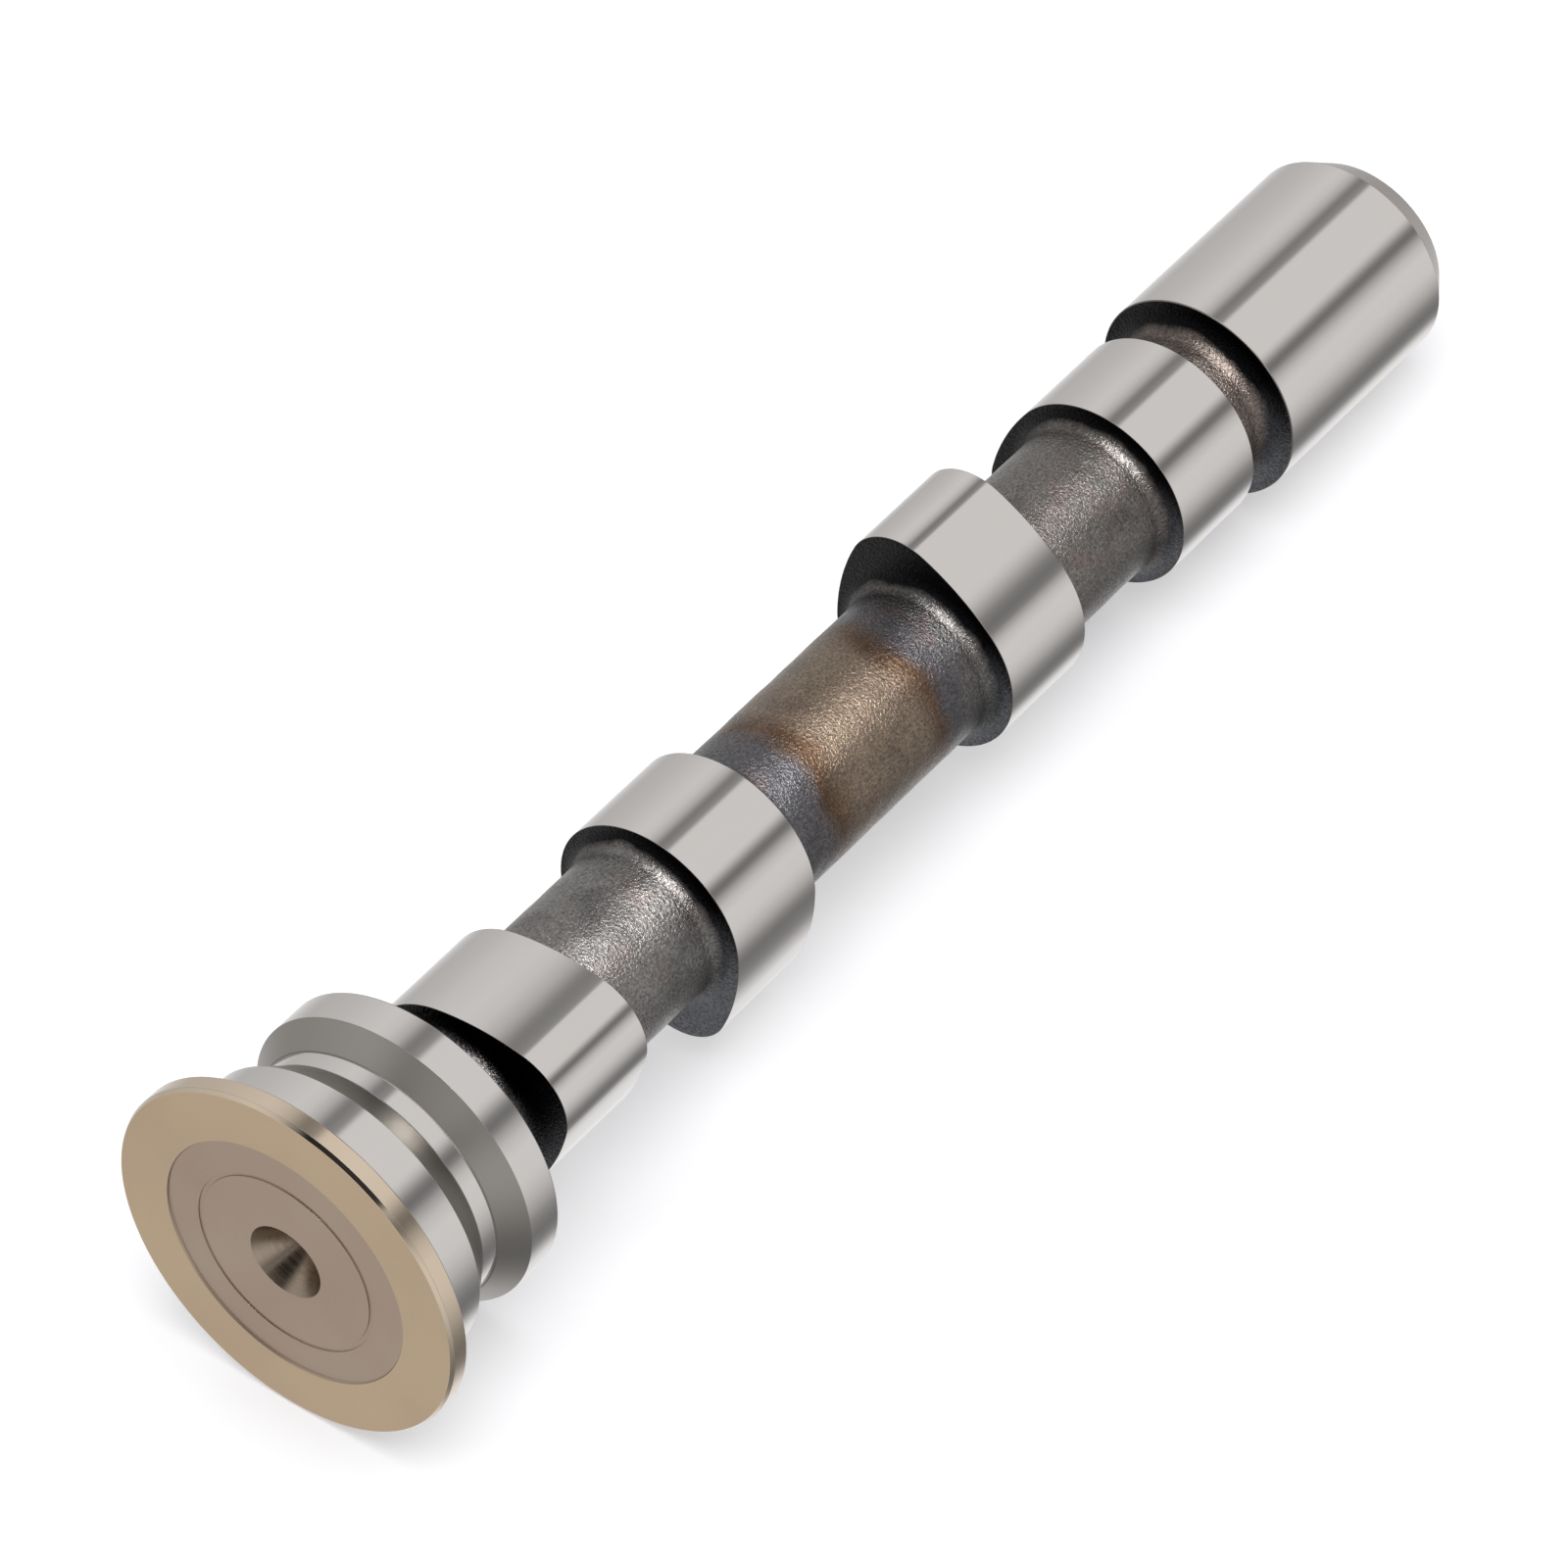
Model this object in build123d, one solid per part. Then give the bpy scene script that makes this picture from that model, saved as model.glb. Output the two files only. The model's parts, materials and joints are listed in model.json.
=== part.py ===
from build123d import *
from math import acos, cos, pi, radians, sin, tan
import os

# Camshaft of a small two-cylinder engine: one casting in chilled iron, turned and
# ground between centres. Millimetres. The shaft's axis is +X, the origin is the
# centre of the flange's front face, and +Z is up as the shaft lies.

# Flange at the front end, which takes the end thrust
flange_diameter = 50.5
flange_thickness = 2.9
flange_edge_length = 0.55     # chamfer round the front rim, along the axis
flange_edge_depth = 0.3       # the same chamfer, along the radius
flange_back_edge = 0.2        # chamfer round the back rim, the same both ways
face_recess_diameter = 35.8   # the middle of the face is turned a little deeper
face_recess_depth = 0.25
face_recess_slope = 0.15      # along the radius, from the recess's floor to its rim
ring_groove_diameter = 25.9   # fine flat groove in the recess, measured to its middle
ring_groove_width = 0.6
ring_groove_depth = 0.15

# Centre holes that the shaft is ground between: a 60 degree cone and its pilot
centre_mouth_diameter = 10.6
centre_pilot_diameter = 5.0
centre_cone_angle = 60.0
centre_drill_point_angle = 120.0
centre_pilot_depth = 6.4

# Front journal, with the oil groove round it
front_journal_diameter = 42.0
front_land = 7.75             # journal between the flange and the groove
groove_front_wall = 4.15      # length along the axis of the gentler wall
groove_floor = 2.7
groove_back_wall = 3.1
groove_depth = 2.85
groove_blend = 0.4            # radius between the groove's floor and its walls
rear_land = 5.1               # journal behind the groove

# Rear journal, with its long lead-in chamfer
rear_journal_diameter = 30.0
rear_journal_length = 34.1    # the ground part, without the chamfer
lead_in_length = 4.1
lead_in_depth = 2.7

# Cast shaft between the journals and the lobes
core_diameter = 22.0
front_neck = 7.7              # front journal to the first lobe
pair_neck = 21.85             # between the two lobes of one cylinder
middle_neck = 41.6            # between the two cylinders
rear_neck = 7.15              # last lobe to the rear journal
root_fillet = 2.3             # where the core runs into a lobe or the front journal
rear_root_fillet = 3.0        # where the core runs into the rear journal

# Cam lobes: base circle, two flanks and a nose, all arcs tangent to each other
lobe_width = 15.7
base_circle_diameter = 27.5
lobe_lift = 4.5
nose_radius = 8.1
flank_radius = 33.0
first_lobe_angle = 303.9      # of its nose, from +Z towards +Y
lobe_separation = 102.4       # between the two noses of one cylinder
cylinder_phase = 180.0        # from one cylinder's noses to the other's

# Sharp corners of the journals are broken with a small chamfer
journal_edge = 0.15

# Radii
flange_radius = flange_diameter / 2
front_journal_radius = front_journal_diameter / 2
groove_radius = front_journal_radius - groove_depth
rear_journal_radius = rear_journal_diameter / 2
core_radius = core_diameter / 2
base_radius = base_circle_diameter / 2

# Stations along the axis, from the flange's front face
groove_start = flange_thickness + front_land
groove_floor_start = groove_start + groove_front_wall
groove_floor_end = groove_floor_start + groove_floor
groove_end = groove_floor_end + groove_back_wall
front_journal_end = groove_end + rear_land
lobe_1_start = front_journal_end + front_neck
lobe_2_start = lobe_1_start + lobe_width + pair_neck
lobe_3_start = lobe_2_start + lobe_width + middle_neck
lobe_4_start = lobe_3_start + lobe_width + pair_neck
rear_journal_start = lobe_4_start + lobe_width + rear_neck
rear_journal_end = rear_journal_start + rear_journal_length
shaft_end = rear_journal_end + lead_in_length

# The second cylinder's lobes mirror the first's along the shaft, half a turn on
second_lobe_angle = first_lobe_angle - lobe_separation
lobes = [
    (lobe_1_start, first_lobe_angle),
    (lobe_2_start, second_lobe_angle),
    (lobe_3_start, second_lobe_angle + cylinder_phase),
    (lobe_4_start, first_lobe_angle + cylinder_phase),
]


def turned(profile):
    """Solid of revolution about the shaft's axis, from (station, radius) points."""
    outline = Polyline(*[(x, 0, r) for x, r in profile], close=True)
    return revolve(make_face(outline), axis=Axis.X)


def flange_and_front_journal():
    """Flange, oil-grooved journal and the recess in the flange's face, turned as one."""
    recess_radius = face_recess_diameter / 2
    ring_outer = (ring_groove_diameter + ring_groove_width) / 2
    ring_inner = (ring_groove_diameter - ring_groove_width) / 2
    ring_floor = face_recess_depth + ring_groove_depth
    return turned([
        (face_recess_depth, 0),
        (face_recess_depth, ring_inner),
        (ring_floor, ring_inner),
        (ring_floor, ring_outer),
        (face_recess_depth, ring_outer),
        (face_recess_depth, recess_radius - face_recess_slope),
        (0, recess_radius),
        (0, flange_radius - flange_edge_depth),
        (flange_edge_length, flange_radius),
        (flange_thickness - flange_back_edge, flange_radius),
        (flange_thickness, flange_radius - flange_back_edge),
        (flange_thickness, front_journal_radius),
        (groove_start, front_journal_radius),
        (groove_floor_start, groove_radius),
        (groove_floor_end, groove_radius),
        (groove_end, front_journal_radius),
        (front_journal_end - journal_edge, front_journal_radius),
        (front_journal_end, front_journal_radius - journal_edge),
        (front_journal_end, 0),
    ])


def rear_journal():
    """Rear journal with a small chamfer at its front and the lead-in at its end."""
    return turned([
        (rear_journal_start, 0),
        (rear_journal_start, rear_journal_radius - journal_edge),
        (rear_journal_start + journal_edge, rear_journal_radius),
        (rear_journal_end, rear_journal_radius),
        (shaft_end, rear_journal_radius - lead_in_depth),
        (shaft_end, 0),
    ])


def core():
    """Plain cast shaft that runs from inside one journal into the other."""
    length = rear_journal_start + rear_neck - flange_thickness
    return Pos(flange_thickness, 0, 0) * Rot(0, 90, 0) * Cylinder(
        core_radius, length, align=(Align.CENTER, Align.CENTER, Align.MIN))


def on_circle(centre, radius, angle):
    """Point of a circle at an angle in radians."""
    return centre + Vector(radius * cos(angle), radius * sin(angle))


def lobe_outline():
    """Three-arc cam outline in its own plane, with its nose along +X.

    A flank's centre lies flank_radius - base_radius from the shaft's axis and
    flank_radius - nose_radius from the nose's centre. With the distance between
    those two centres known, the cosine rule gives the direction of the flank's
    centre, and the arcs touch where the lines through their centres cross them.
    """
    axis_to_nose = base_radius + lobe_lift - nose_radius
    axis_to_flank = flank_radius - base_radius
    nose_to_flank = flank_radius - nose_radius
    turn = acos((axis_to_flank ** 2 + axis_to_nose ** 2 - nose_to_flank ** 2)
                / (2 * axis_to_flank * axis_to_nose))
    axis_point = Vector(0, 0)
    nose_centre = Vector(axis_to_nose, 0)
    flank_centre = on_circle(axis_point, axis_to_flank, turn)
    to_nose = nose_centre - flank_centre
    nose_touch = nose_centre + to_nose.normalized() * nose_radius
    base_touch = on_circle(axis_point, base_radius, turn + pi)
    middle = (base_touch + nose_touch) * 0.5 - flank_centre
    flank_middle = flank_centre + middle.normalized() * flank_radius
    one_flank = ThreePointArc(base_touch, flank_middle, nose_touch)
    other_flank = mirror(one_flank, about=Plane.XZ)
    nose_tip = on_circle(nose_centre, nose_radius, 0)
    nose = ThreePointArc(one_flank @ 1, nose_tip, other_flank @ 1)
    base_back = on_circle(axis_point, base_radius, pi)
    base = ThreePointArc(other_flank @ 0, base_back, one_flank @ 0)
    return make_face([one_flank, nose, other_flank, base])


def lobe(start, angle):
    """Cam lobe from a station along the shaft, its nose at an angle from +Z towards +Y."""
    nose_way = Vector(0, sin(radians(angle)), cos(radians(angle)))
    plane = Plane(origin=(start, 0, 0), x_dir=nose_way, z_dir=(1, 0, 0))
    return plane * extrude(lobe_outline(), amount=lobe_width)


def centre_hole(face, way):
    """Centre hole from an end face at a station, drilled along +X (1) or -X (-1)."""
    mouth_radius = centre_mouth_diameter / 2
    pilot_radius = centre_pilot_diameter / 2
    cone_depth = (mouth_radius - pilot_radius) / tan(radians(centre_cone_angle / 2))
    pilot_end = cone_depth + centre_pilot_depth
    point_depth = pilot_radius / tan(radians(centre_drill_point_angle / 2))
    profile = [
        (0, 0),
        (0, mouth_radius),
        (cone_depth, pilot_radius),
        (pilot_end, pilot_radius),
        (pilot_end + point_depth, 0),
    ]
    return turned([(face + way * depth, radius) for depth, radius in profile])


def rings(shape, radius, stations):
    """Circular edges of one radius round the shaft's axis, at these stations."""
    return [
        edge for edge in shape.edges().filter_by(GeomType.CIRCLE)
        if abs(edge.radius - radius) < 0.01
        and any(abs(edge.center().X - station) < 0.01 for station in stations)
    ]


def camshaft():
    """The whole shaft as one solid."""
    shaft = flange_and_front_journal() + core() + rear_journal()
    shaft += [lobe(start, angle) for start, angle in lobes]
    shaft = fillet(rings(shaft, groove_radius, [groove_floor_start, groove_floor_end]), groove_blend)
    lobe_walls = [start for start, _ in lobes] + [start + lobe_width for start, _ in lobes]
    root_limit = 0.95 * (base_radius - core_radius)
    shaft = fillet(rings(shaft, core_radius, [front_journal_end] + lobe_walls), min(root_fillet, root_limit))
    rear_limit = 0.95 * (rear_journal_radius - journal_edge - core_radius)
    shaft = fillet(rings(shaft, core_radius, [rear_journal_start]), min(rear_root_fillet, rear_limit))
    shaft -= centre_hole(face_recess_depth, 1)
    shaft -= centre_hole(shaft_end, -1)
    return shaft


os.makedirs("parts", exist_ok=True)
export_step(camshaft(), "parts/camshaft.step")
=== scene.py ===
# %% [markdown]
# # A one-piece camshaft, dressed for its photograph
#
# The part is a single casting in chilled iron. Some of its skin is still as it left the sand
# mould, some was turned on a lathe and some was ground bright. The lesson makes that one body
# as one closed surface, gives each stretch of it the finish of its own process, and lights it
# as a photographer lights polished metal: with large pale panels and the dark gaps between them.
#
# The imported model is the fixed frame. It gives the sizes that must not change, and the surface
# made here takes its place.

# %% Load the frame
import json
from collections import namedtuple
from math import atan2, cos, pi, radians, sin, tan

import bpy
import numpy as np
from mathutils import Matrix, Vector


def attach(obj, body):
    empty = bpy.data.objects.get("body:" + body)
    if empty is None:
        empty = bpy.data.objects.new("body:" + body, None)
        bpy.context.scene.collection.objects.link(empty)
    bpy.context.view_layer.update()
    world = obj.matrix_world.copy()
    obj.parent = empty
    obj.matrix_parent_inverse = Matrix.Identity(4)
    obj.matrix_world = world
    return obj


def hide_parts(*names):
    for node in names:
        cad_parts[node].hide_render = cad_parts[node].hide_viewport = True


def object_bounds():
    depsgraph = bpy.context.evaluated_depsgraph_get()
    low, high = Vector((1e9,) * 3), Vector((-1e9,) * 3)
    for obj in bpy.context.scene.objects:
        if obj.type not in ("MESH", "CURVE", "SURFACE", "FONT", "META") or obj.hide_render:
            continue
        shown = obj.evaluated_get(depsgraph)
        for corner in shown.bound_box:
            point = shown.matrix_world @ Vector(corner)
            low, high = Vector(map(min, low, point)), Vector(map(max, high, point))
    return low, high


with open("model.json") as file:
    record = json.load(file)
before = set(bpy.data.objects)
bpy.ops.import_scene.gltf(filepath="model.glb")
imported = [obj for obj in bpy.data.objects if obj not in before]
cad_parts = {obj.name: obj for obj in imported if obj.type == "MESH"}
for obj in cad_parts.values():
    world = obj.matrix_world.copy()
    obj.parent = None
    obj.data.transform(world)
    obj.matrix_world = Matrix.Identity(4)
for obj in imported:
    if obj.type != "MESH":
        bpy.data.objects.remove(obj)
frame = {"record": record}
cad_bounds = [list(corner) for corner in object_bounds()]
MM = 0.001
print("CAD box in mm:", [[round(value / MM, 2) for value in corner] for corner in cad_bounds])

# %% [markdown]
# ## The camera
#
# The photograph looks down on the flange end from about 45 degrees with a long lens, so the far
# end shrinks very little. A camera is easiest to check when it is set the way a photographer
# would say it: what it aims at, from how far, from which side and how high. The aim is a point
# close to the shaft's axis and near its middle.

# %% Camera
scene = bpy.context.scene
aim = Vector((99.4, 0.6, 0.0)) * MM
distance = 1.0816             # metres from the aim
heading = radians(36.76)      # of the line of sight, from +X towards +Y
look_down = radians(45.03)
lens_mm, sensor_mm = 199.4, 36.0

line_of_sight = Vector((
    cos(look_down) * cos(heading),
    cos(look_down) * sin(heading),
    -sin(look_down),
))
lens = bpy.data.cameras.new("camera")
lens.lens = lens_mm
lens.sensor_width = sensor_mm
camera = bpy.data.objects.new("camera", lens)
camera.location = aim - line_of_sight * distance
camera.rotation_euler = line_of_sight.to_track_quat("-Z", "Y").to_euler()
scene.collection.objects.link(camera)
scene.camera = camera
print("camera in mm:", [round(value / MM, 1) for value in camera.location])

# %% [markdown]
# ## Sizes of the shaft
#
# The journals' radii are read from the frame's mounts, because a bearing runs on them, and the
# length and the flange's radius from its box. The other sizes are the drawing's own and are named
# here in millimetres.

# %% Sizes
mounts = {mount["name"]: mount for mount in frame["record"]["mounts"]}
front_journal_radius = mounts["front_journal"]["dims"]["r_mm"]
rear_journal_radius = mounts["rear_journal"]["dims"]["r_mm"]
shaft_end = cad_bounds[1][0] / MM
flange_radius = cad_bounds[1][2] / MM

flange_thickness, flange_back_edge = 2.9, 0.2
flange_edge_length, flange_edge_depth = 0.55, 0.3
recess_radius, recess_depth, recess_slope = 17.9, 0.25, 0.15
ring_inner, ring_outer, ring_depth = 12.65, 13.25, 0.15
mouth_radius, pilot_radius, pilot_depth = 5.3, 2.5, 6.4
half_cone, half_drill_point = radians(30), radians(60)

front_land, front_wall, groove_floor, back_wall, rear_land = 7.75, 4.15, 2.7, 3.1, 5.1
groove_depth, groove_blend = 2.85, 0.4
core_radius, root_fillet, rear_root_fillet = 11.0, 2.3, 3.0
lobe_width, base_radius, lift = 15.7, 13.75, 4.5
nose_radius, flank_radius = 8.1, 33.0
front_neck, pair_neck, middle_neck, rear_neck = 7.7, 21.85, 41.6, 7.15
lead_in_length, lead_in_depth = 4.1, 2.7
first_nose, nose_separation, half_turn = 303.9, 102.4, 180.0      # degrees from +Z towards +Y
print("journal radii:", front_journal_radius, "and", rear_journal_radius, "mm")
print("length:", round(shaft_end, 2), "mm")

# %% [markdown]
# ## Where each stretch starts
#
# A station is a distance along the axis from the flange's front face. Each one follows from the
# one before it, as on a drawing. The second pair of lobes belongs to the second cylinder. It
# mirrors the first pair along the shaft, half a turn on.

# %% Stations and the noses' angles
cone_depth = (mouth_radius - pilot_radius) / tan(half_cone)
drill_point = pilot_radius / tan(half_drill_point)
cone_end = recess_depth + cone_depth
pilot_end = cone_end + pilot_depth
rear_cone_end = shaft_end - cone_depth
rear_pilot_end = rear_cone_end - pilot_depth

groove_radius = front_journal_radius - groove_depth
groove_start = flange_thickness + front_land
floor_start = groove_start + front_wall
floor_end = floor_start + groove_floor
groove_end = floor_end + back_wall
front_journal_end = groove_end + rear_land
lobe_starts = np.cumsum([
    front_journal_end + front_neck,
    lobe_width + pair_neck,
    lobe_width + middle_neck,
    lobe_width + pair_neck,
])
rear_journal_start = lobe_starts[-1] + lobe_width + rear_neck
rear_journal_end = shaft_end - lead_in_length

second_nose = first_nose - nose_separation
nose_angles = [first_nose, second_nose, second_nose - half_turn, first_nose - half_turn]
print("lobes start at", lobe_starts.round(2))
print("the rear journal starts at", round(rear_journal_start, 2))

# %% [markdown]
# ## The cam's outline
#
# A cam lobe is a base circle on the shaft's axis, a small nose circle off it and two large flank
# circles that touch both. The three centres make a triangle whose sides are known, so the cosine
# rule gives the way to the flank's centre, and two arcs touch on the line through their centres.

# %% Centres and touching points of the arcs
nose_offset = base_radius + lift - nose_radius
flank_offset = flank_radius - base_radius
flank_turn = np.arccos(
    (flank_offset ** 2 + nose_offset ** 2 - (flank_radius - nose_radius) ** 2)
    / (2 * flank_offset * nose_offset))
nose_centre = np.array([nose_offset, 0.0])
flank_centre = flank_offset * np.array([np.cos(flank_turn), -np.sin(flank_turn)])
to_nose = nose_centre - flank_centre
nose_touch = nose_centre + nose_radius * to_nose / np.linalg.norm(to_nose)
nose_touch_angle = atan2(nose_touch[1], nose_touch[0])
base_touch_angle = pi - flank_turn
touches = np.degrees([nose_touch_angle, base_touch_angle]).round(1)
print("a flank runs from", touches[0], "to", touches[1], "degrees from the nose")

# %% [markdown]
# ## The outline in polar form
#
# The surface below needs to know how far the outline stands above the base circle at each angle
# from the nose. Each of the three arcs has a closed polar formula, so the outline is exact and
# needs no list of points.

# %% Lift of the cam above its base circle


def circle_in_polar(angle, centre, radius):
    """Far distance from the axis to a circle, along rays at these angles.

    With u the ray's direction and c the circle's centre, the distance is
    u.c + sqrt(radius^2 - |c|^2 + (u.c)^2).
    """
    along = np.cos(angle) * centre[0] + np.sin(angle) * centre[1]
    return along + np.sqrt(np.maximum(radius ** 2 - centre @ centre + along ** 2, 0))


def cam_lift(angle):
    """Height of the outline over the base circle at an angle from the nose, in radians.

    The outline is the nose's circle up to the angle where nose and flank touch, the flank's
    circle from there to where it touches the base circle, and the base circle beyond.
    """
    turn = np.abs((angle + pi) % (2 * pi) - pi)
    nose = circle_in_polar(turn, nose_centre, nose_radius)
    flank = circle_in_polar(turn, flank_centre, flank_radius)
    beyond_nose = np.where(turn < base_touch_angle, flank, base_radius)
    return np.where(turn < nose_touch_angle, nose, beyond_nose) - base_radius


print("lift at the nose and opposite it:", cam_lift(np.array([0.0, pi])).round(3), "mm")

# %% [markdown]
# ## One profile for the whole shaft
#
# A lathe part is a profile turned round its axis. The lobes fit the same idea once each point of
# the profile also says what share of the cam's lift it takes: none on the core, all of it on the
# lobe's rim, and in between on the lobe's flat side. The profile is written as corners. Each has
# the radius that it is rounded to, the finish of the leg that follows and the spacing of the rows
# along it. Real edges are never dead sharp, so every edge here is a small arc. Where one was
# broken with a file or a stone, the arc has a dull finish of its own.

# %% What a corner says
HOLE, RECESS, FACE, RIM, GROUND, TURNED, CAST, LEAD_IN, EDGE, PILOT = range(10)
level, crisp, fine, broken = 0.0, 0.05, 0.06, 0.15      # mm, radii that corners are rounded to
plain, cast_row, side_row = 99.0, 0.8, 0.05             # mm between a leg's rows, plain for none

# A corner that names no arc has the finish of its leg on its own arc too.
Corner = namedtuple(
    "Corner", "station radius rounding finish spacing share nose arc",
    defaults=(plain, 0.0, 0.0, None))
print("a corner says:", ", ".join(Corner._fields))

# %% [markdown]
# ## The corners of the shaft
#
# The list starts on the axis at the bottom of the front centre hole, runs out over the flange's
# face and along the shaft, and ends on the axis at the bottom of the rear hole, so the surface
# has no open edge. A lobe adds six corners. Its lift grows along the flat side only, from a foot
# that is just clear of the root's fillet, so the fillets stay round.

# %% Corners of the profile
foot_clearance = 0.02


def lobe_corners(start, nose):
    """Corners of one lobe, from the root at its front to the root at its back."""
    end = start + lobe_width
    foot = core_radius + root_fillet + foot_clearance
    return [
        Corner(start, core_radius, root_fillet, CAST),
        Corner(start, foot, level, CAST, spacing=side_row, nose=nose),
        Corner(start, base_radius, fine, GROUND, share=1.0, nose=nose, arc=EDGE),
        Corner(end, base_radius, fine, CAST, spacing=side_row, share=1.0, nose=nose, arc=EDGE),
        Corner(end, foot, level, CAST, nose=nose),
        Corner(end, core_radius, root_fillet, CAST, spacing=cast_row),
    ]


profile = [
    Corner(pilot_end + drill_point, 0, level, PILOT),
    Corner(pilot_end, pilot_radius, fine, PILOT),
    Corner(cone_end, pilot_radius, fine, HOLE),
    Corner(recess_depth, mouth_radius, fine, RECESS),
    Corner(recess_depth, ring_inner, crisp, RECESS),
    Corner(recess_depth + ring_depth, ring_inner, crisp, RECESS),
    Corner(recess_depth + ring_depth, ring_outer, crisp, RECESS),
    Corner(recess_depth, ring_outer, crisp, RECESS),
    Corner(recess_depth, recess_radius - recess_slope, fine, RECESS),
    Corner(0, recess_radius, fine, FACE),
    Corner(0, flange_radius - flange_edge_depth, fine, RIM),
    Corner(flange_edge_length, flange_radius, fine, RIM, arc=EDGE),
    Corner(flange_thickness - flange_back_edge, flange_radius, fine, RIM, arc=EDGE),
    Corner(flange_thickness, flange_radius - flange_back_edge, fine, TURNED, arc=EDGE),
    Corner(flange_thickness, front_journal_radius, fine, GROUND),
    Corner(groove_start, front_journal_radius, fine, TURNED, arc=EDGE),
    Corner(floor_start, groove_radius, groove_blend, GROUND, arc=EDGE),
    Corner(floor_end, groove_radius, groove_blend, TURNED, arc=EDGE),
    Corner(groove_end, front_journal_radius, fine, GROUND, arc=EDGE),
    Corner(front_journal_end, front_journal_radius, broken, CAST, arc=EDGE),
    Corner(front_journal_end, core_radius, root_fillet, CAST, spacing=cast_row),
]
for start, nose in zip(lobe_starts, nose_angles):
    profile += lobe_corners(start, nose)
profile += [
    Corner(rear_journal_start, core_radius, rear_root_fillet, CAST),
    Corner(rear_journal_start, rear_journal_radius, broken, GROUND, arc=EDGE),
    Corner(rear_journal_end, rear_journal_radius, fine, LEAD_IN, arc=EDGE),
    Corner(shaft_end, rear_journal_radius - lead_in_depth, fine, LEAD_IN, arc=EDGE),
    Corner(shaft_end, mouth_radius, fine, HOLE),
    Corner(rear_cone_end, pilot_radius, fine, PILOT),
    Corner(rear_pilot_end, pilot_radius, fine, PILOT),
    Corner(rear_pilot_end - drill_point, 0, level, PILOT),
]
print(len(profile), "corners in the profile")

# %% [markdown]
# ## From corners to rows
#
# Each corner becomes an arc that touches both of its legs. A leg gets a row right beside each
# arc as well: smooth shading averages the light of neighbouring faces, and without that row the
# shading of a small round edge would smear over the whole of a flat face.

# %% Arcs and legs
hold = 0.07                                         # mm from an arc to the row beside it
fillet_step, edge_step = radians(12), radians(28)   # between an arc's rows
straight = 1e-3                                     # radians of turn that need no arc


def rounded(before, here, after, radius):
    """Arc that touches both legs of a corner: its first point, its last and those between.

    With a and b the unit vectors along the legs and h half the angle between them, it touches
    at radius / tan(h) from the corner, about a centre at radius / sin(h) along a + b. A share t
    of the way round it, the radius is (sin((1 - t) w) first + sin(t w) last) / sin(w), where w
    is the angle that the arc sweeps.
    """
    a, b = before - here, after - here
    a, b = a / np.linalg.norm(a), b / np.linalg.norm(b)
    half = 0.5 * np.arccos(np.clip(a @ b, -1, 1))
    sweep = pi - 2 * half
    if radius == 0 or sweep < straight:
        return here[None, :]
    centre = here + (a + b) / np.linalg.norm(a + b) * radius / np.sin(half)
    first = here + a * radius / np.tan(half) - centre
    last = here + b * radius / np.tan(half) - centre
    step = fillet_step if radius > broken else edge_step
    part = np.linspace(0, 1, int(np.ceil(sweep / step)) + 1)[:, None]
    spoke = np.sin((1 - part) * sweep) * first + np.sin(part * sweep) * last
    return centre + spoke / np.sin(sweep)


def leg(start, end, spacing):
    """Places from 0 to 1 between the ends of a leg: one beside each end, then even steps."""
    length = np.linalg.norm(end - start)
    if length < 4 * hold:
        return np.linspace(0, 1, int(length / spacing) + 2)[1:-1]
    edge = hold / length
    return np.linspace(edge, 1 - edge, max(int(length / spacing) + 1, 2))


square_edge = rounded(np.array([0.0, 1.0]), np.zeros(2), np.array([1.0, 0.0]), fine)
print("rows round a square edge:", len(square_edge))

# %% [markdown]
# ## Rows of the whole profile
#
# Arcs and legs follow each other along the shaft. Each row carries its place, its share of the
# lift, the way of its nose, and the finish of the strip of faces between it and the next row.

# %% Rows along the profile
points = np.array([[here.station, here.radius] for here in profile])
arcs = [points[:1]]
for i in range(1, len(profile) - 1):
    arcs.append(rounded(points[i - 1], points[i], points[i + 1], profile[i].rounding))
arcs.append(points[-1:])

places, shares, noses, strips = [], [], [], []
for i, (here, arc) in enumerate(zip(profile, arcs)):
    arc_finish = here.finish if here.arc is None else here.arc
    places.append(arc)
    shares.append(np.full(len(arc), here.share))
    noses.append(np.full(len(arc), here.nose))
    strips += [arc_finish] * (len(arc) - 1) + [here.finish]
    if i + 1 < len(profile):
        start, end = arc[-1], arcs[i + 1][0]
        part = leg(start, end, here.spacing)
        places.append(start + part[:, None] * (end - start))
        shares.append(here.share + part * (profile[i + 1].share - here.share))
        noses.append(np.full(len(part), here.nose))
        strips += [here.finish] * len(part)
rows, row_finish = np.concatenate(places), np.array(strips)
row_share, row_nose = np.concatenate(shares), np.concatenate(noses)
print(len(rows), "rows along the shaft")

# %% [markdown]
# ## The surface
#
# A point of the surface is given by its row and by its angle round the axis:
# radius(row, angle) = profile radius + share of the lift * cam lift(angle - nose angle).
# The cast stretches also get a slight unevenness, less than a tenth of a millimetre, because
# sand is never a perfect mould. It is a sum of waves that close on themselves round the shaft,
# with seeded random phases, so it comes out the same every time.

# %% Unevenness of the casting
columns = 208
angle = np.arange(columns) * 2 * pi / columns
sand_unevenness = 0.015                 # mm, root mean square
most_waves_round = 15
shortest_wave, longest_wave = 4, 18     # mm along the shaft


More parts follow.
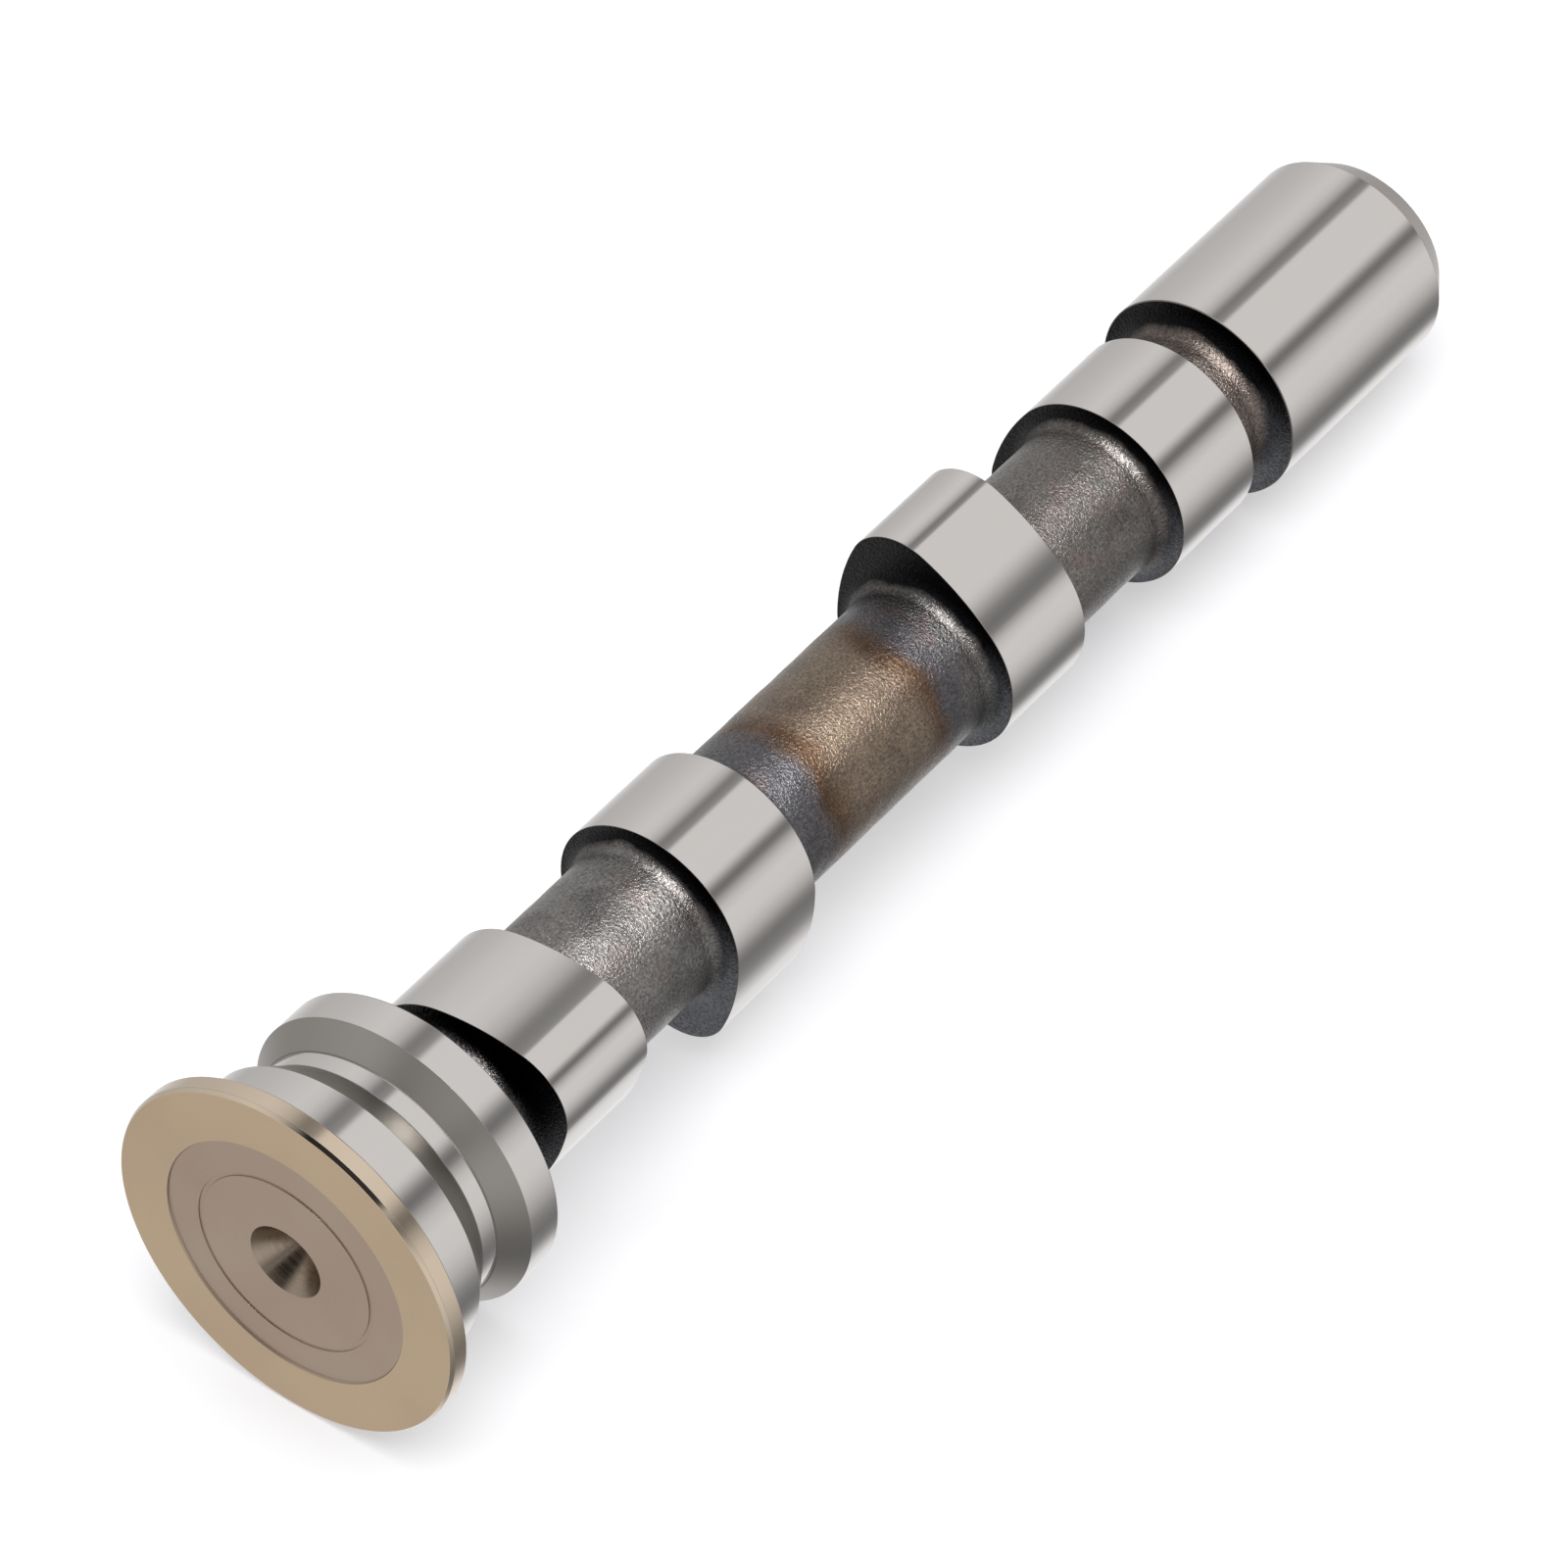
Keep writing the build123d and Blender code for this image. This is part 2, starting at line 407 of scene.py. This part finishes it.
def casting_waves(station, turn, size, seed=11, waves=36):
    """Sum of sines of station and angle, with whole numbers of waves round the shaft.

    One wave is sin(n angle +- 2 pi station / length + phase), with n a whole number. The sum
    is scaled so that its root mean square is the size.
    """
    rng = np.random.default_rng(seed)
    total = np.zeros(np.broadcast(station, turn).shape)
    for _ in range(waves):
        around = rng.integers(1, most_waves_round + 1)
        along = 2 * pi / rng.uniform(shortest_wave, longest_wave)
        way, phase = rng.choice([-1, 1]), rng.uniform(0, 2 * pi)
        total += np.sin(around * turn + way * along * station + phase)
    return size * total / np.sqrt(waves / 2)


waves_here = casting_waves(rows[:, :1], angle[None, :], sand_unevenness)
print("unevenness from", waves_here.min().round(3), "to", waves_here.max().round(3), "mm")

# %% [markdown]
# ## Points
#
# The unevenness fades out up the fillets, so that the lobes' sides stay flat, and it leaves the
# machined ends alone. The first and the last row lie on the axis, and each becomes one point.

# %% Points of the surface
station, profile_radius = rows[:, :1], rows[:, 1:]
lifted = row_share[:, None] * cam_lift(angle[None, :] - np.radians(row_nose)[:, None])
sand = np.clip((core_radius + root_fillet - profile_radius) / root_fillet, 0, 1)
on_core = (station > front_journal_end) & (station < rear_journal_start)
radius = profile_radius + lifted + on_core * sand * waves_here

verts = np.stack([
    np.broadcast_to(station, radius.shape),
    radius * np.sin(angle),
    radius * np.cos(angle),
], axis=-1)[1:-1].reshape(-1, 3)
poles = np.array([[rows[0, 0], 0, 0], [rows[-1, 0], 0, 0]])
verts = np.concatenate([verts, poles]) * MM
print(len(verts), "vertices")

# %% [markdown]
# ## Faces
#
# Between two rows lies a strip of four-sided faces, one for each column, and the last column
# joins the first. A fan of triangles closes each end at its pole.

# %% Faces and mesh
inner_rows = len(rows) - 2
row, column = np.meshgrid(np.arange(inner_rows - 1), np.arange(columns), indexing="ij")
beside = (column + 1) % columns
quads = np.stack([
    row * columns + column,
    row * columns + beside,
    (row + 1) * columns + beside,
    (row + 1) * columns + column,
], axis=-1).reshape(-1, 4)
one, two = column[0], beside[0]
front_pole, rear_pole = len(verts) - 2, len(verts) - 1
last_row = (inner_rows - 1) * columns
front_fan = np.stack([np.full(columns, front_pole), two, one], axis=-1)
rear_fan = np.stack([np.full(columns, rear_pole), last_row + one, last_row + two], axis=-1)
face_finish = np.concatenate([
    np.repeat(row_finish[1:-2], columns), np.full(2 * columns, PILOT)])

mesh = bpy.data.meshes.new("camshaft_casting")
mesh.from_pydata(verts.tolist(), [], quads.tolist() + front_fan.tolist() + rear_fan.tolist())
mesh.update()
shaft = bpy.data.objects.new("camshaft_casting", mesh)
scene.collection.objects.link(shaft)
print(2 * len(quads) + 2 * columns, "triangles")

# %% [markdown]
# ## Colours and nodes
#
# A colour is written as the hex value that the eye sees and turned to linear light by one
# function. A second function adds a node: its settings, then its inputs, where an input that is
# another node's output is linked and any other value is set. A colour ramp gets its stops too.

# %% Colour and node helpers


def linear(hex_colour):
    """Linear light of an sRGB hex colour, with full alpha."""
    value = np.array([int(hex_colour[i:i + 2], 16) for i in (1, 3, 5)]) / 255
    light = np.where(value <= 0.04045, value / 12.92, ((value + 0.055) / 1.055) ** 2.4)
    return (*light.tolist(), 1.0)


def add(tree, kind, inputs=None, stops=(), **settings):
    """Add a node of a kind to a tree, with its settings, inputs and (place, colour) stops."""
    node = tree.nodes.new(kind)
    for name, value in settings.items():
        setattr(node, name, value)
    for name, value in (inputs or {}).items():
        socket = node.inputs[name]
        if isinstance(value, bpy.types.NodeSocket):
            tree.links.new(value, socket)
        else:
            socket.default_value = value
    if stops:
        elements = node.color_ramp.elements
        while len(elements) < len(stops):
            elements.new(0.5)
        for element, (place, _) in zip(elements, stops):
            element.position = place
        for element, (_, colour) in zip(elements, stops):
            element.color = colour
    return node


print("middle grey #808080 is", round(linear("#808080")[0], 3), "of white light")

# %% [markdown]
# ## Bare metal
#
# Every finish of this shaft is bare iron, so all of them share the shader: fully metallic, with a
# colour, a roughness and a fine relief. What differs is the pattern that drives them, and each
# pattern reads the place on the object, so it stays on the part when the part is moved.

# %% Start and end of a material


def start_material(name):
    """A new material, its empty tree, and the place on the object that its patterns read."""
    material = bpy.data.materials.new(name)
    material.use_nodes = True
    tree = material.node_tree
    tree.nodes.clear()
    place = add(tree, "ShaderNodeTexCoord").outputs["Object"]
    return material, tree, place


def bare_metal(tree, colour, roughness, relief, depth_mm):
    """Metal surface of this colour and roughness, bumped by a relief of this depth."""
    bump = add(tree, "ShaderNodeBump", {
        "Height": relief, "Strength": 1.0, "Distance": depth_mm * MM})
    metal = add(tree, "ShaderNodeBsdfPrincipled", {
        "Base Color": colour, "Metallic": 1.0, "Roughness": roughness,
        "Normal": bump.outputs["Normal"]})
    add(tree, "ShaderNodeOutputMaterial", {"Surface": metal.outputs["BSDF"]})


noise_low, noise_high = 0.3, 0.7      # noise keeps nearly always between these
print("noise is read between", noise_low, "and", noise_high)

# %% [markdown]
# ## Ground iron
#
# The journals and the lobes' rims were ground between centres with a fine wheel. Grinding leaves
# a bright, warm grey mirror whose faint lines run round the shaft, so reflections stay clear
# across them. The lines are drawn as noise that changes along X only: real ones are a few
# hundredths of a millimetre apart, and these are drawn at a quarter of a millimetre to show at all.
#
# The walls of the oil groove, the back of the flange and the lead-in were only turned, so they are
# darker and duller. The broken edges are duller still, which keeps a thin edge from showing as a
# row of bright dots.

# %% Ground and turned iron


def machined(name, colour, smoothest, roughest, line_mm, depth_mm):
    """Iron cut or ground while it turned: bare metal with lines round the shaft.

    The lines are noise of the place with Y and Z taken out, about line_mm apart.
    """
    material, tree, place = start_material(name)
    along = add(tree, "ShaderNodeVectorMath", {
        0: place, 1: (1.0, 0.0, 0.0)}, operation="MULTIPLY")
    lines = add(tree, "ShaderNodeTexNoise", {
        "Vector": along.outputs["Vector"], "Scale": 1 / (line_mm * MM), "Detail": 3.0,
    }).outputs["Fac"]
    roughness = add(tree, "ShaderNodeMapRange", {
        "Value": lines, "From Min": noise_low, "From Max": noise_high,
        "To Min": smoothest, "To Max": roughest})
    bare_metal(tree, linear(colour), roughness.outputs["Result"], lines, depth_mm)
    return material


# Name, colour, roughness from and to, mm between lines, mm of depth
ground_iron = machined("ground_chilled_iron", "#cac6c3", 0.06, 0.10, 0.25, 0.0003)
turned_iron = machined("turned_iron", "#96928d", 0.32, 0.35, 0.18, 0.0001)
lead_in_iron = machined("turned_lead_in", "#8c847e", 0.24, 0.28, 0.18, 0.0005)
rim_iron = machined("turned_tinted_rim", "#ccbca8", 0.08, 0.14, 0.2, 0.0004)
edge_iron = machined("broken_edges", "#7c7874", 0.55, 0.65, 0.2, 0.0)
machined_irons = (ground_iron, turned_iron, lead_in_iron, rim_iron, edge_iron)
print("machined finishes:", [iron.name for iron in machined_irons])

# %% [markdown]
# ## The flange's face
#
# The face was turned with the tool moving inwards, so its marks are rings. The outer ring has a
# yellow-brown tint and the recess is a little pinker. Rings need the distance from the axis,
# which is the length of the position once X is taken out. The cone of the centre hole is made the
# same way but smoother, because it was lapped for the grinder, and the pilot below it is dark:
# painted shade deep in the hole.

# %% Faced iron
cloud_mm, ring_depth_mm = 16.667, 0.002


def distance_from_axis(tree, place):
    """Distance of the shaded point from the shaft's axis."""
    flat = add(tree, "ShaderNodeVectorMath", {
        0: place, 1: (0.0, 1.0, 1.0)}, operation="MULTIPLY")
    return add(tree, "ShaderNodeVectorMath", {
        0: flat.outputs["Vector"]}, operation="LENGTH").outputs["Value"]


def faced(name, colour, worn, ring_mm, smoothest, roughest):
    """Iron faced on a lathe: fine rings about the shaft's axis, with a faint cloudy tint.

    The rings are noise of the distance from the axis, and larger noise blends the two colours.
    """
    material, tree, place = start_material(name)
    rings = add(tree, "ShaderNodeTexNoise", {
        "W": distance_from_axis(tree, place), "Scale": 1 / (ring_mm * MM), "Detail": 2.0,
    }, noise_dimensions="1D").outputs["Fac"]
    clouds = add(tree, "ShaderNodeTexNoise", {
        "Vector": place, "Scale": 1 / (cloud_mm * MM), "Detail": 2.0})
    wear = add(tree, "ShaderNodeMapRange", {
        "Value": clouds.outputs["Fac"], "From Min": noise_low, "From Max": noise_high})
    tint = add(tree, "ShaderNodeMix", {
        "Factor": wear.outputs["Result"], "A": linear(colour), "B": linear(worn),
    }, data_type="RGBA")
    roughness = add(tree, "ShaderNodeMapRange", {
        "Value": rings, "From Min": noise_low, "From Max": noise_high,
        "To Min": smoothest, "To Max": roughest})
    bare_metal(tree, tint.outputs["Result"], roughness.outputs["Result"], rings, ring_depth_mm)
    return material


# Name, colour, colour where worn, mm between rings, roughness from and to
face_iron = faced("faced_tinted_iron", "#bda88b", "#b8a186", 0.2, 0.32, 0.4)
recess_iron = faced("faced_recess_iron", "#a99786", "#a49080", 0.2, 0.34, 0.42)
hole_iron = faced("countersunk_centre_hole", "#a09183", "#918373", 0.25, 0.24, 0.32)
# The pilot's dark colour is painted shade at the bottom of the centre hole.
pilot_shade_iron = faced("drilled_pilot", "#4a4038", "#403731", 0.25, 0.5, 0.6)
print("faced finishes:", [iron.name for iron in (face_iron, recess_iron, hole_iron, pilot_shade_iron)])

# %% [markdown]
# ## Colours of the as-cast skin
#
# Between the lobes the shaft is as it came out of the sand: dark oxide skin with a few rusty
# patches. Round the middle of the long neck it was heated, and kept the temper colours: straw
# brown, a darker brown rim and blue-grey beyond. The dark grey just behind the front journal is
# painted shade in the narrow neck there. Colour follows the distance along X, bent a
# little by noise so that no edge is a perfect ring.

# %% Skin between the lobes
skin_and_painted_shade_stops = [      # mm along the shaft and the colour there
    # The dark grey at 26 mm, fading out by 34 mm, is painted shade in the gap behind the front
    # journal.
    (26, "#3a3a3a"), (34, "#5a5857"), (50, "#7a7775"), (70, "#7a7775"), (87, "#5e5d60"),
    (93.5, "#5c5a5d"), (96.5, "#604a39"), (100.5, "#7e6f61"), (113, "#7b6d5f"),
    (117.2, "#5c4738"), (120, "#5a585c"), (127, "#6e6b69"), (144, "#726d6b"),
    (163, "#726e6b"), (182, "#817772"), (189, "#766b64"),
]
wander_mm = 1.6                                   # how far noise bends a colour's edge
rust_colour, patch_mm = "#74605a", 5.263
rust_from, rust_full, most_rust = 0.52, 0.7, 0.4  # of the noise, and of the colour


def cast_skin(tree, place, drift):
    """Colour of the skin: stops along X, with painted shade behind the front journal, shifted by a
    noise, under thin rusty patches.
    """
    apart = add(tree, "ShaderNodeSeparateXYZ", {"Vector": place})
    wander = add(tree, "ShaderNodeMapRange", {
        "Value": drift, "From Min": noise_low, "From Max": noise_high,
        "To Min": -wander_mm * MM, "To Max": wander_mm * MM})
    along = add(tree, "ShaderNodeMath", {
        0: apart.outputs["X"], 1: wander.outputs["Result"]}, operation="ADD")
    share = add(tree, "ShaderNodeMath", {
        0: along.outputs["Value"], 1: shaft_end * MM}, operation="DIVIDE")
    bands = add(tree, "ShaderNodeValToRGB", {"Fac": share.outputs["Value"]}, stops=[
        (place_mm / shaft_end, linear(colour)) for place_mm, colour in skin_and_painted_shade_stops])
    patches = add(tree, "ShaderNodeTexNoise", {
        "Vector": place, "Scale": 1 / (patch_mm * MM), "Detail": 4.0})
    rust = add(tree, "ShaderNodeMapRange", {
        "Value": patches.outputs["Fac"], "From Min": rust_from, "From Max": rust_full,
        "To Min": 0.0, "To Max": most_rust})
    return add(tree, "ShaderNodeMix", {
        "Factor": rust.outputs["Result"], "A": bands.outputs["Color"], "B": linear(rust_colour),
    }, data_type="RGBA").outputs["Result"]


print(len(skin_and_painted_shade_stops), "colours along the skin")

# %% [markdown]
# ## The lobes' sides
#
# The skin runs on into the fillets and turns near black there and on the lobes' flat sides. That
# near black is painted shade. One half of each side is a paler blue-grey, which is painted light.
# That half is found by how far the point lies from the axis along one fixed way across the shaft.

# %% Colour of the lobes' sides
# Near black is painted shade on the lobes' sides; the paler colour along the fixed way is painted
# light.
painted_shade_side_colour, painted_light_side_colour = "#141416", "#505155"
painted_light_way = (0.0, -0.80, -0.60)
painted_light_from, painted_light_full = 3.0, 12.0      # mm along that way


def painted_lobe_side_shading(tree, place):
    """Colour of a lobe's side: near-black painted shade, and painted light that grows paler with
    the distance along one fixed way.
    """
    towards = add(tree, "ShaderNodeVectorMath", {
        0: place, 1: painted_light_way}, operation="DOT_PRODUCT")
    painted_light_share = add(tree, "ShaderNodeMapRange", {
        "Value": towards.outputs["Value"], "From Min": painted_light_from * MM, "From Max": painted_light_full * MM})
    return add(tree, "ShaderNodeMix", {
        "Factor": painted_light_share.outputs["Result"],
        "A": linear(painted_shade_side_colour), "B": linear(painted_light_side_colour),
    }, data_type="RGBA").outputs["Result"]


print("the lobes' sides turn from", painted_shade_side_colour, "to", painted_light_side_colour)

# %% [markdown]
# ## As-cast iron
#
# Sand leaves a grain of about a fifth of a millimetre. It is sharp enough to glitter under a lamp,
# and its pits hold more oxide, so they are darker and duller than its tips. One material covers
# the skin and the sides: the distance from the axis says which of the two colours shows, and the
# sides' colour is painted shade with a half of painted light.

# %% As-cast iron
# Between these distances from the axis the skin turns into the painted shade of the fillets and
# lobe sides.
painted_shade_from, painted_shade_full = 11.0, 12.0      # mm from the axis, from skin to lobe side
drift_mm, ragged_mm = 7.143, 0.4       # size of the slow noise, and its shift of that limit
grain_mm, grain_depth_mm = 0.19, 0.14
pit_shade, tip_shade = 0.45, 1.5


def cast_iron(name, smoothest, roughest):
    """Sand-cast iron: skin near the axis, and further out the lobe sides' painted shade and painted
    light, with a sharp grain.
    """
    material, tree, place = start_material(name)
    drift = add(tree, "ShaderNodeTexNoise", {
        "Vector": place, "Scale": 1 / (drift_mm * MM), "Detail": 3.0}).outputs["Fac"]
    ragged = add(tree, "ShaderNodeMapRange", {
        "Value": drift, "From Min": noise_low, "From Max": noise_high,
        "To Min": -ragged_mm * MM, "To Max": ragged_mm * MM})
    reach = add(tree, "ShaderNodeMath", {
        0: distance_from_axis(tree, place), 1: ragged.outputs["Result"]}, operation="ADD")
    # How far the point lies in the lobe sides' painted shade and painted light, rather than the
    # skin.
    painted_shade_share = add(tree, "ShaderNodeMapRange", {
        "Value": reach.outputs["Value"], "From Min": painted_shade_from * MM, "From Max": painted_shade_full * MM})
    colour = add(tree, "ShaderNodeMix", {
        "Factor": painted_shade_share.outputs["Result"],
        "A": cast_skin(tree, place, drift), "B": painted_lobe_side_shading(tree, place),
    }, data_type="RGBA")

    grain = add(tree, "ShaderNodeTexNoise", {
        "Vector": place, "Scale": 1 / (2 * grain_mm * MM), "Detail": 3.0, "Roughness": 0.65,
    }).outputs["Fac"]
    shade = add(tree, "ShaderNodeMapRange", {
        "Value": grain, "From Min": noise_low, "From Max": noise_high,
        "To Min": pit_shade, "To Max": tip_shade})
    pitted = add(tree, "ShaderNodeVectorMath", {
        0: colour.outputs["Result"], "Scale": shade.outputs["Result"]}, operation="SCALE")
    roughness = add(tree, "ShaderNodeMapRange", {
        "Value": grain, "From Min": noise_low, "From Max": noise_high,
        "To Min": roughest, "To Max": smoothest})
    bare_metal(tree, pitted.outputs["Vector"], roughness.outputs["Result"], grain, grain_depth_mm)
    return material


core_iron = cast_iron("as_cast_iron_skin", 0.24, 0.36)
print("cast finish:", core_iron.name, "with", len(core_iron.node_tree.nodes), "nodes")

# %% [markdown]
# ## Finish for each stretch
#
# The profile already says which finish each leg has, so the faces only need the number of their
# material. All faces shade smooth, because every edge is a real arc.

# %% Hand out the materials
finishes = {
    HOLE: hole_iron, RECESS: recess_iron, FACE: face_iron, RIM: rim_iron, GROUND: ground_iron,
    TURNED: turned_iron, CAST: core_iron, LEAD_IN: lead_in_iron, EDGE: edge_iron, PILOT: pilot_shade_iron,
}
for number in sorted(finishes):
    mesh.materials.append(finishes[number])
mesh.polygons.foreach_set("material_index", face_finish.astype(np.int32))
mesh.polygons.foreach_set("use_smooth", np.ones(len(mesh.polygons), dtype=bool))
mesh.update()
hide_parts("camshaft")
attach(shaft, "root")
print("faces by finish:", np.bincount(face_finish))

# %% [markdown]
# ## The floor
#
# The shaft lies on the rim of its flange and on its rear journal, so the floor that carries it
# slopes a little against the axis.

# %% Floor
front_contact = np.array([flange_thickness - flange_back_edge, -flange_radius])
rear_contact = np.array([rear_journal_end, -rear_journal_radius])
slope = (rear_contact[1] - front_contact[1]) / (rear_contact[0] - front_contact[0])
floor_reach = 900.0
along = np.array([-floor_reach, floor_reach]) + shaft_end / 2
height = front_contact[1] + slope * (along - front_contact[0])
floor_corners = [
    (along[0], -floor_reach, height[0]), (along[1], -floor_reach, height[1]),
    (along[1], floor_reach, height[1]), (along[0], floor_reach, height[0]),
]
floor_mesh = bpy.data.meshes.new("floor")
floor_mesh.from_pydata((np.array(floor_corners) * MM).tolist(), [], [(0, 1, 2, 3)])
floor = bpy.data.objects.new("floor", floor_mesh)
scene.collection.objects.link(floor)
print("floor slope", round(np.degrees(np.arctan(slope)), 2), "degrees")

# %% [markdown]
# ## The floor's paint
#
# The floor is pale and takes the soft shadow. For the camera it also glows a little, so that it
# comes out white where no shadow falls, without more light on the part. It is left out of
# reflections, so that the shaft mirrors the studio alone.

# %% Pale floor
floor_colour, seen_colour, glow_colour, glow = "#e7e7e7", "#e5e5e7", "#fdfdff", 0.34
floor_paint = bpy.data.materials.new("pale_floor")
floor_paint.use_nodes = True
tree = floor_paint.node_tree
tree.nodes.clear()
ray = add(tree, "ShaderNodeLightPath")
paint = add(tree, "ShaderNodeBsdfDiffuse", {"Color": linear(floor_colour)})
seen_paint = add(tree, "ShaderNodeBsdfDiffuse", {"Color": linear(seen_colour)})
glowing = add(tree, "ShaderNodeEmission", {"Color": linear(glow_colour), "Strength": glow})
seen = add(tree, "ShaderNodeAddShader", {0: seen_paint.outputs[0], 1: glowing.outputs[0]})
either = add(tree, "ShaderNodeMixShader", {
    "Fac": ray.outputs["Is Camera Ray"], 1: paint.outputs[0], 2: seen.outputs[0]})
add(tree, "ShaderNodeOutputMaterial", {"Surface": either.outputs[0]})
floor_mesh.materials.append(floor_paint)
floor.visible_glossy = False
print("floor paint:", floor_paint.name)

# %% [markdown]
# ## The studio
#
# Bright metal shows its room. The room here is a pale tent, written as light against the angle
# round the shaft's axis, from +Z towards +Y: bright panels with narrow dark gaps between them.
# The tent goes on below the horizon.

# %% Tent round the axis
studio = [      # degrees and light
    (-180, 1.00), (-175, 0.85), (-170, 0.68), (-163, 0.41), (-158, 0.31), (-150, 0.26),
    (-143, 0.30), (-135, 0.40), (-127, 0.58), (-119, 0.74), (-111, 0.87), (-103, 0.96),
    (-85, 0.99), (-75, 0.84), (-67, 0.54), (-63, 0.33), (-59, 0.25), (-55, 0.33), (-51, 0.56),
    (-47, 0.82), (-43, 0.97), (4, 0.97), (8, 0.42), (15, 0.31), (18, 0.34), (25, 0.68),
    (33, 0.88), (42, 0.94), (73, 0.78), (105, 0.66), (135, 0.84), (180, 1.00),
]
world = bpy.data.worlds.new("studio")
world.use_nodes = True
scene.world = world
tree = world.node_tree
tree.nodes.clear()
way = add(tree, "ShaderNodeTexCoord").outputs["Generated"]
apart = add(tree, "ShaderNodeSeparateXYZ", {"Vector": way})
round_axis = add(tree, "ShaderNodeMath", {
    0: apart.outputs["Y"], 1: apart.outputs["Z"]}, operation="ARCTAN2")
share = add(tree, "ShaderNodeMapRange", {
    "Value": round_axis.outputs["Value"], "From Min": -pi, "From Max": pi})
tent = add(tree, "ShaderNodeValToRGB", {"Fac": share.outputs["Result"]}, stops=[
    ((degrees + 180) / 360, (light, light, light, 1.0)) for degrees, light in studio])
print(len(studio), "angles in the tent")

# %% [markdown]
# ## The dark opening
#
# The tent has one dark opening, over the flange's end, and only faces that lean that way show it.
# It is a cone about one direction with a soft edge. The camera and anything transparent see plain
# white instead of the tent.

# %% Opening and world
opening_lean = radians(22)      # from straight up towards -X
opening_turn = radians(-16)     # from +Z towards +Y
opening_half, opening_soft = radians(27), radians(4)
opening_light = 0.03
towards_opening = (
    -sin(opening_lean),
    cos(opening_lean) * sin(opening_turn),
    cos(opening_lean) * cos(opening_turn),
)
near_opening = add(tree, "ShaderNodeVectorMath", {
    0: way, 1: towards_opening}, operation="DOT_PRODUCT")
dimming = add(tree, "ShaderNodeMapRange", {
    "Value": near_opening.outputs["Value"], "From Min": cos(opening_half + opening_soft),
    "From Max": cos(opening_half - opening_soft), "To Min": 1.0, "To Max": opening_light,
}, interpolation_type="SMOOTHSTEP")
dimmed = add(tree, "ShaderNodeVectorMath", {
    0: tent.outputs["Color"], "Scale": dimming.outputs["Result"]}, operation="SCALE")
ray = add(tree, "ShaderNodeLightPath")
plain_view = add(tree, "ShaderNodeMath", {
    0: ray.outputs["Is Camera Ray"], 1: ray.outputs["Is Transmission Ray"]}, operation="MAXIMUM")
room = add(tree, "ShaderNodeMix", {
    "Factor": plain_view.outputs["Value"], "A": dimmed.outputs["Vector"], "B": linear("#ffffff"),
}, data_type="RGBA")
background = add(tree, "ShaderNodeBackground", {"Color": room.outputs["Result"], "Strength": 1.0})
add(tree, "ShaderNodeOutputWorld", {"Surface": background.outputs["Background"]})
print("opening towards", np.round(towards_opening, 2))

# %% [markdown]
# ## Two lamps
#
# The ground faces show the tent and would show any lamp as a hot streak. The rough cast skin
# needs a lamp, because only a compact light makes its grain glitter. So the key lamp hangs square
# over the shaft, where no ground face mirrors it into the camera, and leaves the floor alone. The
# second lamp is large and soft, and nothing mirrors it. It leans a little to the flange's end and
# draws the shadow on the floor.

# %% Lamps


def disk_lamp(name, turn, lean, distance_m, size, power):
    """Round lamp aimed at the shaft, placed by its turn from +Z to +Y and its lean towards +X."""
    light = bpy.data.lights.new(name, "AREA")
    light.shape = "DISK"
    light.size = size
    light.energy = power
    lamp = bpy.data.objects.new(name, light)
    turn, lean = radians(turn), radians(lean)
    towards = Vector((sin(lean), cos(lean) * sin(turn), cos(lean) * cos(turn)))
    lamp.location = aim + towards * distance_m
    lamp.rotation_euler = (-towards).to_track_quat("-Z", "Y").to_euler()
    scene.collection.objects.link(lamp)
    return lamp


key = disk_lamp("key", turn=-21, lean=0, distance_m=1.0, size=0.5, power=14.0)
key.visible_diffuse = False
key.data.cycles.max_bounces = 0
fill = disk_lamp("soft_fill", turn=-13, lean=-12, distance_m=1.2, size=1.0, power=8.5)
fill.visible_glossy = False
print("lamps:", [(lamp.name, round(lamp.data.energy, 1)) for lamp in (key, fill)])

# %% [markdown]
# ## Finish
#
# The picture's colours are written as they are, without a film look.

# %% Finish
scene.view_settings.view_transform = "Standard"
